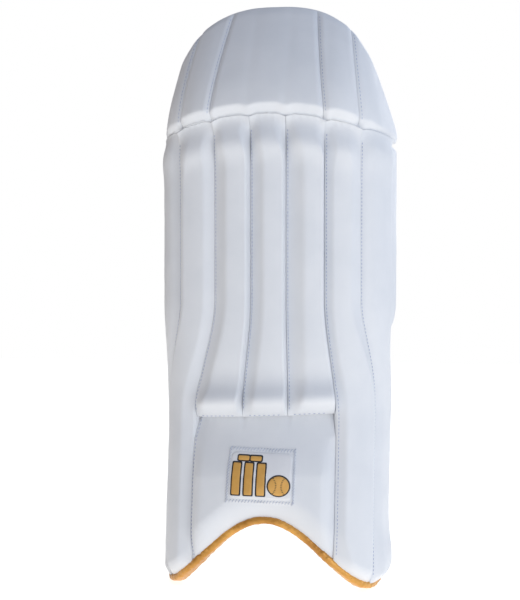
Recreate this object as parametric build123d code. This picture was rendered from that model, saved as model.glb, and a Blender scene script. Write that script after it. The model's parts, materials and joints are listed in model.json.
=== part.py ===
from build123d import *
import math
import os

os.makedirs("parts", exist_ok=True)

# A wicket-keeping leg pad for the left leg, in millimetres.
# +X is the outer (lateral) side of the leg, -Y is the front and +Z is up.
# The origin is on the leg's axis, level with the lowest point of the bottom lobes.

# ---------------------------------------------------------------- driving dimensions
TOP = 607.0                  # crown of the knee section
KNEE_SEAM = 487.5            # knee seam at the centre
KNEE_SEAM_FALL = 0.0017      # the seam falls by this times x squared
INSTEP_SEAM = 179.0          # seam between the middle rolls and the instep panel
ARCH = 71.0                  # crown of the arch over the boot
WING_LOW = 258.0             # lower edge of the shin wings
BINDING_HEIGHT = 7.5         # gold binding along the bottom edge
BINDING_DEPTH = 8.0

SKIN = 1.5                   # covering
SLACK = 0.4                  # between a cover and the foam inside it
SEAM_GAP = 0.7               # each side of a seam
KNEE_GAP = 1.2               # between the knee section and the shin section

ROLL_DEPTHS = [16.0, 20.5, 24.0, 24.0, 24.0, 20.5, 16.0]
ROLL_BULGES = [1.5, 4.5, 6.0, 6.0, 6.0, 4.5, 1.5]   # extra depth under the knee seam
EDGE_DEPTH = 4.0             # depth of a padded panel beside its seam
WING_DEPTH = 10.0

CANE_DIAMETER = 5.4
CANE_PITCH = 8.0
CANE_COUNT = 20
CANE_LOW, CANE_HIGH = 266.0, 450.0
CANE_LAYER = 7.6             # depth of the layer that holds the rods
BOARD = 2.0                  # stiffening board
LINING = 1.6                 # woven lining on the leg side
BOLSTER_DEPTH = 14.0

STRAP_WIDTH = 38.0
STRAP_THICK = 1.8
HOOK_THICK = 1.0
HOOK_LENGTH = 46.0
TAB_THICK = 1.6
TAB_LENGTH = 52.0
TAB_CLEAR = 1.4              # between the hook patch and the tab it closes on
STRAP_SAG = 34.0             # how far a strap bows behind its two ends
STRAP_HEIGHTS = {"top": 425.0, "calf": 300.0, "ankle": 92.0}

# The backing surface in horizontal section is a shallow front arc, a tighter corner arc
# and a nearly straight wing. Each row is a height, the y of the front's centre, then
# length and turn in degrees of each of the three arcs.
STATIONS = [
    (0.0, -101.0, 57.0, 14.0, 67.0, 64.0, 36.0, 6.0),
    (ARCH, -92.0, 57.0, 14.0, 67.0, 64.0, 36.0, 6.0),
    (INSTEP_SEAM, -75.0, 58.0, 14.0, 65.0, 62.0, 38.0, 8.0),
    (225.0, -71.0, 69.0, 17.0, 50.0, 57.0, 56.0, 14.0),
    (300.0, -71.0, 81.0, 20.0, 34.0, 50.0, 72.0, 18.0),
    (460.0, -71.0, 81.0, 20.0, 34.0, 50.0, 72.0, 18.0),
    (KNEE_SEAM, -72.0, 80.0, 20.0, 33.0, 50.0, 70.0, 18.0),
    (520.0, -67.0, 77.0, 20.0, 31.0, 50.0, 66.0, 18.0),
    (560.0, -50.0, 73.0, 20.0, 30.0, 50.0, 60.0, 18.0),
    (TOP, -22.0, 64.0, 20.0, 28.0, 50.0, 54.0, 18.0),
]

# Seams between the rolls: arc length from the centre above and below the spread.
SEAMS_HIGH = [-142.0, -94.5, -56.0, -18.5, 18.5, 56.0, 94.5, 142.0]
SEAMS_LOW = [-157.0, -109.0, -73.5, -24.5, 20.5, 66.5, 108.0, 157.0]
SPREAD_TOP, SPREAD_END = 300.0, INSTEP_SEAM

# Bottom edge: it falls from the arch to a lobe at each side, then rises to the rear edge.
LOBE = 116.0                 # arc length from the centre to the lowest point
REAR_EDGE, REAR_RISE = 158.0, 16.0
# Top edge of the knee section past the crown, down to its rear corners.
CROWN_HALF, CROWN_FALL = 78.0, 24.0
TOP_EDGE_SIDE = [(94, 565), (125, 534), (152, 502), (175, 476)]
KNEE_SEAMS = {"centre": (59.0, 45.0), "flank": (92.0, 82.0)}   # at the knee seam and at the top
KNEE_REAR = (176.0, 146.0)

# Depth of a padded panel across its width, as parts of its full depth.
CROWNED = [(0.0, 0.0), (0.12, 0.62), (0.3, 0.96), (0.5, 1.0), (0.7, 0.96), (0.88, 0.62), (1.0, 0.0)]
LEVEL = [(0.0, 1.0), (0.5, 1.0), (1.0, 1.0)]
WIDE_LEVEL = [(k / 12, 1.0) for k in range(13)]


# ---------------------------------------------------------------- the backing surface
def between(a, b, part):
    return a + (b - a) * part


def along(points, at):
    """Straight-line value of a list of (place, value) pairs."""
    if at <= points[0][0]:
        return points[0][1]
    for (a, low), (b, high) in zip(points, points[1:]):
        if at <= b:
            return between(low, high, (at - a) / (b - a))
    return points[-1][1]


def station(z):
    z = min(max(z, STATIONS[0][0]), STATIONS[-1][0])
    for low, high in zip(STATIONS, STATIONS[1:]):
        if z <= high[0]:
            part = (z - low[0]) / (high[0] - low[0])
            return [between(a, b, part) for a, b in zip(low[1:], high[1:])]
    return STATIONS[-1][1:]


def on_pad(s, z, t=0.0):
    """x and y at arc length s from the centre and height z, t mm in front of the backing."""
    front, *arcs = station(z)
    side = math.copysign(1.0, s)
    left = abs(s)
    x, y, turn = 0.0, front, 0.0
    for k in (0, 2, 4):
        length, bend = arcs[k], arcs[k + 1]
        radius = length / math.radians(bend)
        step = left if k == 4 else min(left, length)
        end = turn + step / radius
        x += radius * (math.sin(end) - math.sin(turn))
        y += radius * (math.cos(turn) - math.cos(end))
        turn = end
        left -= step
        if left <= 0:
            break
    return side * (x + t * math.sin(turn)), y - t * math.cos(turn)


def knee_seam(s):
    x = on_pad(s, KNEE_SEAM)[0]
    return KNEE_SEAM - KNEE_SEAM_FALL * x * x


def bottom_edge(s):
    if abs(s) < LOBE:
        return ARCH * (1 + math.cos(math.pi * s / LOBE)) / 2
    return REAR_RISE * ((abs(s) - LOBE) / (REAR_EDGE - LOBE)) ** 3


def above_binding(s):
    return bottom_edge(s) + BINDING_HEIGHT + 0.6


def top_edge(s):
    if abs(s) <= TOP_EDGE_SIDE[0][0]:
        return TOP - CROWN_FALL * (abs(s) / CROWN_HALF) ** 3
    return along(TOP_EDGE_SIDE, abs(s))


def seam_at(index, z):
    start = WING_LOW - 4 if index in (0, 7) else SPREAD_TOP
    part = min(max((start - z) / (start - SPREAD_END), 0.0), 1.0)
    return between(SEAMS_HIGH[index], SEAMS_LOW[index], part)


# ---------------------------------------------------------------- panels on the surface
def section(left, right, z_left, z_right, inner, outer):
    """Closed flat outline between two arc lengths, on a plane that may tilt.
    inner and outer are lists of (part of the width, distance in front of the backing)."""
    start = on_pad(left, z_left)
    end = on_pad(right, z_right)
    chord = (end[0] - start[0], end[1] - start[1])
    rise = (z_right - z_left) / (chord[0] ** 2 + chord[1] ** 2)

    def point(u, t):
        x, y = on_pad(between(left, right, u), between(z_left, z_right, u), t)
        z = z_left + rise * ((x - start[0]) * chord[0] + (y - start[1]) * chord[1])
        return Vector(x, y, z)

    ahead = [point(u, t) for u, t in outer]
    behind = [point(u, t) for u, t in inner[::-1]]
    return Wire([
        Edge.make_spline(ahead),
        Edge.make_line(ahead[-1], behind[0]),
        Edge.make_spline(behind),
        Edge.make_line(behind[-1], ahead[0]),
    ])


def panel(rows, back, inset=0.0, shape=CROWNED, skin=0.0):
    """Loft of a panel. A row is (left, right, z_left, z_right, front depth, edge depth)."""
    wires = []
    for left, right, z_left, z_right, front, edge in rows:
        front = max(front - skin, back + 0.8)
        edge = max(edge - skin, back + 0.5)
        outer = [(u, edge + (front - edge) * part) for u, part in shape]
        inner = [(u, back) for u, part in shape]
        wires.append(section(left + inset, right - inset, z_left, z_right, inner, outer))
    return Solid.make_loft(wires, True)


def shortened(rows, trim):
    """The same rows with both ends moved in by trim."""
    rows = [list(row) for row in rows]
    for row, neighbour, sign in ((rows[0], rows[1], 1), (rows[-1], rows[-2], -1)):
        for k in (2, 3):
            row[k] = row[k] + sign * trim
            if sign * (neighbour[k] - row[k]) < 0.5:
                neighbour[k] = row[k] + sign * 0.5
    return rows


def cover_and_foam(rows, shape=CROWNED, back=0.0, closed=False):
    """A skin and the foam that fills it. An open skin has no back wall."""
    outside = panel(rows, back, shape=shape)
    short = shortened(rows, SKIN)
    floor = back + SKIN if closed else back - 4.0
    cover = outside - panel(short, floor, inset=SKIN, shape=shape, skin=SKIN)
    foam = panel(shortened(rows, SKIN + SLACK), back + (SKIN + SLACK if closed else SLACK),
                 inset=SKIN + SLACK, shape=shape, skin=SKIN + SLACK)
    return cover, foam


def save(name, shape):
    solids = ShapeList(shape.solids()) if hasattr(shape, "solids") else ShapeList(shape)
    export_step(solids[0] if len(solids) == 1 else Compound(children=list(solids)),
                f"parts/{name}.step")


# ---------------------------------------------------------------- shin rolls
def roll_rows(index):
    """Rows of one of the seven rolls, from its lower end up to the knee seam."""
    middle = 2 <= index <= 4
    depth, bulge = ROLL_DEPTHS[index], ROLL_BULGES[index]
    low_end = [(0.0, 5.0), (3.0, 12.0), (9.0, depth - 3), (22.0, depth + 1)]
    if not middle:
        low_end = [(0.0, BINDING_DEPTH), (7.0, 0.6 * depth), (18.0, 0.85 * depth), (40.0, depth)]
    high_end = [(60.0, depth), (48.0, depth + 0.5 * bulge), (34.0, depth + bulge),
                (20.0, depth + 0.6 * bulge), (10.0, 0.8 * depth), (4.0, 0.4 * depth), (0.0, 3.0)]

    def row(z_left, z_right, front):
        left = seam_at(index, z_left) + SEAM_GAP
        right = seam_at(index + 1, z_right) - SEAM_GAP
        return (left, right, z_left, z_right, front, min(EDGE_DEPTH, front - 0.6))

    def low(s):
        return INSTEP_SEAM if middle else above_binding(s) + 0.6

    foot = [low(SEAMS_LOW[index + k]) for k in (0, 1)]
    head = [knee_seam(SEAMS_HIGH[index + k]) - KNEE_GAP for k in (0, 1)]
    rows = [row(foot[0] + rise, foot[1] + rise, front) for rise, front in low_end]
    for z in (120.0, SPREAD_END, 225.0, WING_LOW - 4, SPREAD_TOP, 380.0):
        if z > max(foot) + low_end[-1][0] + 8:
            rows.append(row(z, z, depth))
    rows += [row(head[0] - drop, head[1] - drop, front) for drop, front in high_end]
    return rows


for index in range(7):
    cover, foam = cover_and_foam(roll_rows(index))
    save(f"shin_roll_cover_{index + 1}", cover)
    save(f"shin_roll_foam_{index + 1}", foam)


# ---------------------------------------------------------------- instep panel and badge
INSTEP_DEPTH = 15.0
INSTEP_LEFT, INSTEP_RIGHT = SEAMS_LOW[2] + SEAM_GAP, SEAMS_LOW[5] - SEAM_GAP
CUT_HALF = 80.0              # half the width that the arch is cut over


def block_below(curve, half, raise_by, depth=0.0):
    """A block with a curved top, to cut a panel's lower edge. curve gives height at arc length."""
    count = 18
    places = [between(-half, half, k / count) for k in range(count + 1)]
    crest = [Vector(on_pad(s, curve(s), depth)[0], -160, curve(s) + raise_by) for s in places]
    low_left, low_right = (Vector(v.X, -160, min(v.Z, 470) - 60) for v in (crest[0], crest[-1]))
    face = make_face([Spline(crest), Polyline(crest[-1], low_right, low_left, crest[0])])
    return extrude(face, 160, dir=(0, 1, 0))


def instep_rows(top_drop):
    rows = []
    for z, front in ((20.0, 7.0), (40.0, 10.0), (80.0, 13.0), (120.0, INSTEP_DEPTH),
                     (150.0, INSTEP_DEPTH), (166.0, 12.0), (INSTEP_SEAM - 0.8 - top_drop, 5.0)):
        rows.append((INSTEP_LEFT, INSTEP_RIGHT, z, z, front, EDGE_DEPTH))
    return rows


SHALLOW = [(0.0, 0.0), (0.04, 0.5), (0.1, 0.9), (0.18, 1.0), (0.34, 1.0), (0.5, 1.0),
           (0.66, 1.0), (0.82, 1.0), (0.9, 0.9), (0.96, 0.5), (1.0, 0.0)]
instep_out = panel(instep_rows(0), 0, shape=SHALLOW) - block_below(above_binding, CUT_HALF, 0, BINDING_DEPTH)
instep_in = (panel(instep_rows(SKIN), -4, inset=SKIN, shape=SHALLOW, skin=SKIN)
             - block_below(above_binding, CUT_HALF, SKIN, BINDING_DEPTH))
instep_fill = (panel(instep_rows(SKIN + SLACK), SLACK, inset=SKIN + SLACK, shape=SHALLOW,
                     skin=SKIN + SLACK) - block_below(above_binding, CUT_HALF, SKIN + SLACK, BINDING_DEPTH))
save("instep_cover", instep_out - instep_in)
save("instep_foam", instep_fill)

BADGE_HEIGHT = 115.0
BADGE_OFFSET = -5.0
BADGE_HALF_WIDTH, BADGE_HALF_HEIGHT = 33.0, 28.0


def badge_layer(half_width, half_height, back, front):
    rows = []
    for z in (BADGE_HEIGHT - half_height, BADGE_HEIGHT, BADGE_HEIGHT + half_height):
        rows.append((BADGE_OFFSET - half_width, BADGE_OFFSET + half_width, z, z, front, front))
    return panel(rows, back, shape=LEVEL)


save("badge_patch", badge_layer(BADGE_HALF_WIDTH, BADGE_HALF_HEIGHT,
                                INSTEP_DEPTH + 0.5, INSTEP_DEPTH + 1.9))


def badge_emblem():
    """Three upright bars under a cross bar, with a ball beside them: a wicket."""
    front = INSTEP_DEPTH + 2.2
    rods = []
    for offset in (-7.0, 0.0, 7.0):
        s = BADGE_OFFSET - 5.0 + offset
        rows = [(s - 1.6, s + 1.6, z, z, front + 1.0, front + 1.0)
                for z in (BADGE_HEIGHT - 18, BADGE_HEIGHT + 12)]
        rods.append(panel(rows, front, shape=LEVEL))
    for offset in (-3.6, 3.6):
        s = BADGE_OFFSET - 5.0 + offset
        rows = [(s - 3.3, s + 3.3, z, z, front + 1.0, front + 1.0)
                for z in (BADGE_HEIGHT + 13.5, BADGE_HEIGHT + 16.0)]
        rods.append(panel(rows, front, shape=LEVEL))
    x, y = on_pad(BADGE_OFFSET + 15.0, BADGE_HEIGHT - 10, front)
    rods.append(Plane((x, y, BADGE_HEIGHT - 10), z_dir=(0.05, -1, 0.152)) * Cylinder(
        5.5, 1.0, align=(Align.CENTER, Align.CENTER, Align.MIN)))
    return Compound(children=[solid for rod in rods for solid in rod.solids()])


save("badge_emblem", badge_emblem())


# ---------------------------------------------------------------- edge bindings
def edge_band(stations, height, back, front, sign=1):
    """A bar along an edge. Each station is an arc length and the height of the edge."""
    wires = []
    for s, z in stations:
        corners = []
        for t, up in ((back, 0), (front, 0), (front, height), (back, height)):
            x, y = on_pad(s, z, t)
            corners.append(Vector(x, y, z + sign * up))
        wires.append(Wire.make_polygon(corners))
    return Solid.make_loft(wires, True)


BAND_STEPS = 44
bottom_places = [between(-REAR_EDGE, REAR_EDGE, k / BAND_STEPS) for k in range(BAND_STEPS + 1)]
bottom_stations = [(s, bottom_edge(s)) for s in bottom_places]
save("bottom_binding", edge_band(bottom_stations, BINDING_HEIGHT, 0.0, BINDING_DEPTH))


# ---------------------------------------------------------------- layers behind the rolls
def layer(half_low, half_high, low, high, back, thick, heights):
    rows = []
    for z in [low] + [h for h in heights if low + 5 < h < high - 5] + [high]:
        half = between(half_low, half_high, (z - low) / (high - low))
        rows.append((-half, half, z, z, back + thick, back + thick))
    return panel(rows, back, shape=WIDE_LEVEL)


LAYER_HEIGHTS = [120.0, INSTEP_SEAM, 225.0, 300.0, 460.0, 520.0, 560.0]
board_back = -CANE_LAYER - BOARD
lining_back = board_back - 0.3 - LINING

canes = []
for index in range(CANE_COUNT):
    s = (index - (CANE_COUNT - 1) / 2) * CANE_PITCH
    low = Vector(*on_pad(s, CANE_LOW, -CANE_LAYER / 2), CANE_LOW)
    high = Vector(*on_pad(s, CANE_HIGH, -CANE_LAYER / 2), CANE_HIGH)
    path = high - low
    canes.append(Solid.make_cylinder(CANE_DIAMETER / 2, path.length, Plane(low, z_dir=path)))
save("cane_rods", Compound(children=canes))

save("shin_backing_board", layer(108, 112, 90, 464, board_back, BOARD, LAYER_HEIGHTS))
save("shin_lining", layer(109, 113, 88, 466, lining_back, LINING, LAYER_HEIGHTS))


def bolster(left, right, low, high, depth):
    """A padded roll on the leg side of the lining."""
    face = lining_back - 0.6
    middle = [z for z in LAYER_HEIGHTS if low + 16 < z < high - 16]
    wires = []
    for z in [low, low + 7] + middle + [high - 7, high]:
        deep = depth * (0.45 if z in (low, high) else 1.0)
        crown = [(0.0, 0.15), (0.12, 0.7), (0.3, 0.97), (0.5, 1.0), (0.7, 0.97), (0.88, 0.7), (1.0, 0.15)]
        outer = [(u, face) for u, part in crown]
        inner = [(u, face - deep * part) for u, part in crown]
        wires.append(section(left, right, z, z, inner, outer))
    return Solid.make_loft(wires, True)


for side, name in ((-1, "medial"), (1, "lateral")):
    low_s, high_s = sorted((side * 44.0, side * 84.0))
    save(f"{name}_shin_bolster", bolster(low_s, high_s, 205, 405, BOLSTER_DEPTH))
save("ankle_bolster", bolster(-58, 58, 100, 144, 10.0))


# ---------------------------------------------------------------- knee section
def knee_bound(name, z):
    """Arc length of a knee seam at a height."""
    bottom, top = {"rear": KNEE_REAR, **KNEE_SEAMS}.get(name)
    return between(bottom, top, min(max((z - KNEE_SEAM) / (TOP - KNEE_SEAM), 0.0), 1.0))


def knee_rows(left_name, right_name, depths, edge):
    """Rows of a knee panel on the outer side, from the knee seam up to the top edge."""
    rows = []
    bottom = []
    top = []
    for name in (left_name, right_name):
        at_seam = -KNEE_SEAMS["centre"][0] if name == "mirror" else knee_bound(name, KNEE_SEAM)
        at_top = -KNEE_SEAMS["centre"][1] if name == "mirror" else knee_bound(name, TOP)
        bottom.append(knee_seam(at_seam))
        top.append(top_edge(at_top) - 4.0)
    for part, depth in depths:
        z_left, z_right = (between(bottom[k], top[k], part) for k in (0, 1))
        if left_name == "mirror":
            left = -knee_bound("centre", z_left) + SEAM_GAP
        else:
            left = knee_bound(left_name, z_left) + SEAM_GAP
        right = knee_bound(right_name, z_right) - SEAM_GAP
        rows.append((left, right, z_left, z_right, depth, min(edge, depth - 0.6)))
    return rows


def mirrored(rows):
    return [(-right, -left, z_right, z_left, front, edge)
            for left, right, z_left, z_right, front, edge in rows]


KNEE_DEPTHS = [(0.0, 14.0), (0.03, 22.0), (0.1, 28.0), (0.2, 29.0), (0.32, 26.0), (0.5, 22.0),
               (0.75, 18.0), (0.93, 13.0), (1.0, 7.0)]
FLANK_DEPTHS = [(part, 0.92 * depth) for part, depth in KNEE_DEPTHS]
KNEE_WING_DEPTHS = [(0.0, 7.0), (0.06, 12.0), (0.3, 13.0), (0.6, 12.0), (0.92, 10.0), (1.0, 6.0)]

knee_panels = {
    "knee_centre": (knee_rows("mirror", "centre", KNEE_DEPTHS, 12.0)),
    "knee_lateral_flank": (knee_rows("centre", "flank", FLANK_DEPTHS, 9.0)),
    "knee_lateral_wing": (knee_rows("flank", "rear", KNEE_WING_DEPTHS, 6.0)),
}
knee_panels["knee_medial_flank"] = mirrored(knee_panels["knee_lateral_flank"])
knee_panels["knee_medial_wing"] = mirrored(knee_panels["knee_lateral_wing"])
for name, rows in knee_panels.items():
    cover, foam = cover_and_foam(rows, closed="wing" in name)
    if name == "knee_centre":
        cover = cover - block_below(knee_seam, 70, 0)
        foam = foam - block_below(knee_seam, 70, SKIN + SLACK)
    save(f"{name}_cover", cover)
    save(f"{name}_foam", foam)

save("knee_backing_board", layer(80, 52, 503, 570, board_back + 4, BOARD, LAYER_HEIGHTS))
save("knee_lining", layer(82, 54, 501, 572, lining_back + 3.4, LINING, LAYER_HEIGHTS))


def knee_bolster(low, high, half, depth):
    return bolster(-half, half, low, high, depth).moved(Location((0, -2.5, 0)))


save("knee_upper_bolster", knee_bolster(557, 579, 44, 10.0))
save("knee_lower_bolster", knee_bolster(516, 538, 62, 10.0))

top_stations = [(s, top_edge(s) - 3.4) for s in range(-80, 81, 10)]
save("top_edge_binding", edge_band(top_stations, 3.4, 0.5, 6.0))


# ---------------------------------------------------------------- shin wings
WING_FRONT = SEAMS_HIGH[-1] + 1.0
WING_REAR = 190.0


def wing_rows():
    """Rows of the lateral shin wing: its lower rear corner is cut away in a curve."""
    rows = []
    high = [knee_seam(s) - 2.5 for s in (WING_FRONT, WING_REAR)]
    for part, rear, depth in ((0.0, 0.62, 5.0), (0.04, 0.76, 8.5), (0.12, 0.9, WING_DEPTH),
                              (0.3, 1.0, WING_DEPTH), (0.7, 1.0, WING_DEPTH),
                              (0.94, 0.97, 9.0), (1.0, 0.9, 5.0)):
        right = between(WING_FRONT, WING_REAR - 4.0, rear)
        z_left, z_right = between(WING_LOW, high[0], part), between(WING_LOW, high[1], part)
        rows.append((WING_FRONT, right, z_left, z_right, depth, min(4.0, depth - 1)))
    return rows


def wing_binding():
    """A rounded edge along the wing's rear."""
    wires = []
    for z in (WING_LOW + 28, 300.0, 350.0, 400.0, 440.0):
        corners = []
        for s, t in ((WING_REAR - 3.4, 0), (WING_REAR - 3.4, 4.5), (WING_REAR, 4.5), (WING_REAR, 0)):
            x, y = on_pad(s, z, t)
            corners.append(Vector(x, y, z))
        wires.append(Wire.make_polygon(corners))
    return Solid.make_loft(wires, True)


lateral_rows = wing_rows()
for name, rows in (("medial", mirrored(lateral_rows)), ("lateral", lateral_rows)):
    cover, foam = cover_and_foam(rows, closed=True)
    save(f"{name}_wing_cover", cover)
    save(f"{name}_wing_foam", foam)
save("lateral_wing_binding", wing_binding())
save("medial_wing_binding", mirror(wing_binding(), Plane.YZ))


# ---------------------------------------------------------------- straps and their tabs
def strap_ends(name):
    """Medial hinge point and the reach of the lateral tab for a strap."""
    z = STRAP_HEIGHTS[name]
    rear, clear = (155.0, 8.0) if name == "ankle" else (WING_REAR, 4.0)
    x, y = on_pad(rear, z, 2.0)
    return x, y + clear, z


def strap_arc(name, inset):
    """Radius and centre y of the arc that a strap follows, inset towards the leg."""
    x, y, z = strap_ends(name)
    radius = (x * x + STRAP_SAG ** 2) / (2 * STRAP_SAG)
    return radius - inset, y + STRAP_SAG - radius


def band(name, start, end, inset, thick, width):
    """A curved band between two angles, in degrees from straight back, lateral positive."""
    z = STRAP_HEIGHTS[name]
    radius, centre = strap_arc(name, inset)
    arcs = []
    for r in (radius, radius - thick):
        arcs.append([(r * math.sin(math.radians(a)), centre + r * math.cos(math.radians(a)))
                     for a in (start, (start + end) / 2, end)])
    outer, inner = [[Vector(x, y, z - width / 2) for x, y in arc] for arc in arcs]
    face = Face(Wire([
        Edge.make_three_point_arc(*outer),
        Edge.make_line(outer[-1], inner[-1]),
        Edge.make_three_point_arc(*inner[::-1]),
        Edge.make_line(inner[0], outer[0]),
    ]))
    return extrude(face, width, dir=(0, 0, 1))


for name in STRAP_HEIGHTS:
    x, y, z = strap_ends(name)
    radius, centre = strap_arc(name, 0)
    reach = math.degrees(math.asin(x / radius))
    hook = math.degrees(HOOK_LENGTH / radius)
    tab = math.degrees(TAB_LENGTH / radius)
    margin = math.degrees(6.0 / radius)
    save(f"{name}_strap_webbing", band(name, -reach, reach - margin, 0, STRAP_THICK, STRAP_WIDTH))
    save(f"{name}_strap_hook", band(name, reach - margin - hook, reach - margin - 0.5,
                                    STRAP_THICK + 0.05, HOOK_THICK, STRAP_WIDTH - 4))
    save(f"{name}_strap_tab", band(name, reach - tab, reach - 0.6, STRAP_THICK + HOOK_THICK + TAB_CLEAR,
                                   TAB_THICK, STRAP_WIDTH + 4))
    print(name, "strap hinge", round(-x, 2), round(y, 2), z)
for name, side, depth in (("medial", -1, WING_DEPTH + 1), ("lateral", 1, -1)):
    x, y = on_pad(side * (WING_FRONT - 0.5), 350.0, depth)
    print(name, "wing hinge", round(x, 2), round(y, 2))
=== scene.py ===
import json
import math
import bmesh
import bpy
import numpy as np
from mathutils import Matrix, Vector, noise


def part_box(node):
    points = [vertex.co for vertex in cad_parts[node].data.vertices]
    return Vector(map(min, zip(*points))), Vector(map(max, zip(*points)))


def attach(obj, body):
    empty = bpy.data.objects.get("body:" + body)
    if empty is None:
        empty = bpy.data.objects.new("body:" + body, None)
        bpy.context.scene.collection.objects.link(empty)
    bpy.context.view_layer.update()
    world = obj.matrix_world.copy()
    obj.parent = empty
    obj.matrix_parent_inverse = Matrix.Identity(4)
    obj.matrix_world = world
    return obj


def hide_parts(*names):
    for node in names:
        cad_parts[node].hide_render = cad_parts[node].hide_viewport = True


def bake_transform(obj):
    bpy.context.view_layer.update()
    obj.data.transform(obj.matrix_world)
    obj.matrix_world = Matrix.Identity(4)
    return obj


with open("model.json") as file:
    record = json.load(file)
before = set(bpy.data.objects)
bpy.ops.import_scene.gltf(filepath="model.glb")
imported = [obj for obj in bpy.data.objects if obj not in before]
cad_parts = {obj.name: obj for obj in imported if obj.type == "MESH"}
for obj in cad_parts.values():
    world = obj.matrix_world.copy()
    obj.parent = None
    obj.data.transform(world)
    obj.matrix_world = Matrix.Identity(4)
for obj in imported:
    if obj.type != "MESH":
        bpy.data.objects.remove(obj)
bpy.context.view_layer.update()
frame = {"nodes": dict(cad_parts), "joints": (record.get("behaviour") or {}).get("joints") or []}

# A wicket-keeping leg pad. Sizes here are in millimetres and become metres in new_mesh.
MM = 0.001

# -------- sizes taken from the frame
joints = {joint["name"]: joint for joint in frame["joints"]}


def node_box(node):
    low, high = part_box(node)
    return low / MM, high / MM


KNEE_SEAM = joints["knee_flex"]["pos_m"][2] / MM
TOP = node_box("top_edge_binding")[1].z
INSTEP_SEAM = node_box("shin_roll_cover_4")[0].z
WING_LOW = node_box("lateral_wing_cover")[0].z

KNEE_SEAM_RISE, KNEE_SEAM_FALL = 1.0, 0.0017  # the knee seam falls by the second times x squared
SEAM_PULL, PULL_WIDTH = 2.4, 5.0  # and it is pulled down between two rolls
INSTEP_SLOPE = 0.045  # the instep seam is not quite level
BINDING_HEIGHT, BINDING_LAP = 7.5, 1.5  # the panels run this far in under the binding
ARCH = 71.0
STRAP_HEIGHTS = {name: joints[f"{name}_strap_open"]["pos_m"][2] / MM
                 for name in ("top", "calf", "ankle")}
LOBE, REAR_EDGE, REAR_RISE = 116.0, 158.0, 16.0
CROWN_RISE, CROWN_HALF, CROWN_FALL = 2.0, 78.0, 24.0
TOP_EDGE_SIDE = [(94, 567), (125, 536), (152, 504), (175, 477)]
CROWN_END = TOP_EDGE_SIDE[0][0]

# The backing surface: height, front y, then length and turn in degrees of three arcs.
STATIONS = np.array([
    (0.0, -101.0, 57.0, 14.0, 67.0, 64.0, 36.0, 6.0),
    (ARCH, -92.0, 57.0, 14.0, 67.0, 64.0, 36.0, 6.0),
    (INSTEP_SEAM, -75.0, 58.0, 14.0, 65.0, 62.0, 38.0, 8.0),
    (225.0, -71.0, 69.0, 17.0, 50.0, 57.0, 56.0, 14.0),
    (300.0, -71.0, 81.0, 20.0, 34.0, 50.0, 72.0, 18.0),
    (460.0, -71.0, 81.0, 20.0, 34.0, 50.0, 72.0, 18.0),
    (KNEE_SEAM, -72.0, 80.0, 20.0, 33.0, 50.0, 70.0, 18.0),
    (520.0, -67.0, 77.0, 20.0, 31.0, 50.0, 66.0, 18.0),
    (560.0, -50.0, 73.0, 20.0, 30.0, 50.0, 60.0, 18.0),
    (TOP, -22.0, 64.0, 20.0, 28.0, 50.0, 54.0, 18.0),
])
SEAMS_HIGH = [-142.0, -90.5, -53.0, -16.0, 18.5, 55.5, 89.0, 142.0]
SEAMS_LOW = [-157.0, -109.0, -73.5, -24.5, 20.5, 66.5, 108.0, 157.0]
SPREAD_TOP, SPREAD_END = 300.0, INSTEP_SEAM  # the seams turn from the first row to the second
OUTER_SPREAD_TOP = WING_LOW - 2
KNEE_SEAMS = {"centre": (53.5, 43.5), "flank": (86.5, 77.5), "rear": (176.0, 146.0)}

# -------- curves and the surface
def smooth(points, at):
    """Smooth curve through (place, value) pairs that doesn't overshoot them."""
    xs, ys = np.array(points, float).T
    steps = np.diff(ys) / np.diff(xs)
    slopes = np.concatenate([[steps[0]], (steps[:-1] + steps[1:]) / 2, [steps[-1]]])
    turning = np.concatenate([[False], steps[:-1] * steps[1:] <= 0, [False]])
    slopes[turning] = 0.0
    limit = 3 * np.minimum(np.abs(np.r_[steps[0], steps]), np.abs(np.r_[steps, steps[-1]]))
    slopes = np.clip(slopes, -limit, limit)
    at = np.clip(np.asarray(at, float), xs[0], xs[-1])
    k = np.clip(np.searchsorted(xs, at, side="right") - 1, 0, len(xs) - 2)
    width = xs[k + 1] - xs[k]
    p = (at - xs[k]) / width
    return ((2 * p ** 3 - 3 * p ** 2 + 1) * ys[k] + (p ** 3 - 2 * p ** 2 + p) * width * slopes[k]
            + (3 * p ** 2 - 2 * p ** 3) * ys[k + 1] + (p ** 3 - p ** 2) * width * slopes[k + 1])


def ease(p):
    p = np.clip(p, 0.0, 1.0)
    return p * p * (3 - 2 * p)


def swell(distance, width, power=2.0):
    """Rise from 0 at an edge to 1 at width from it, steep first, like stuffed cloth."""
    return 1 - (1 - np.clip(distance / width, 0.0, 1.0)) ** power


def flank(distance, width, soft=0.16):
    """A straight side that rises from 0 to 1 over width, with a rounded shoulder."""
    p = np.clip(distance / width, 0.0, 1.0 + soft)
    return p - np.maximum(p - 1 + soft, 0.0) ** 2 / (4 * soft)


def hump(distance, place, width):
    """1 at a place, falling to 0 on both sides of it."""
    return np.exp(-((distance - place) / width) ** 2)


def fade(distance, reach):
    """1 at an edge, falling to 0 away from it."""
    return np.exp(-distance / reach)


def around_circle(count):
    return np.linspace(0, 2 * math.pi, count, endpoint=False)


def squared_off(wave, power):
    """A sine or cosine pushed outward, so that the circle it draws becomes a rounded rectangle."""
    return np.sign(wave) * np.abs(wave) ** power


def unit(vectors):
    return vectors / np.maximum(np.linalg.norm(vectors, axis=-1, keepdims=True), 1e-9)


def station(column, z):
    return smooth(list(zip(STATIONS[:, 0], STATIONS[:, column])), z)


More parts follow.
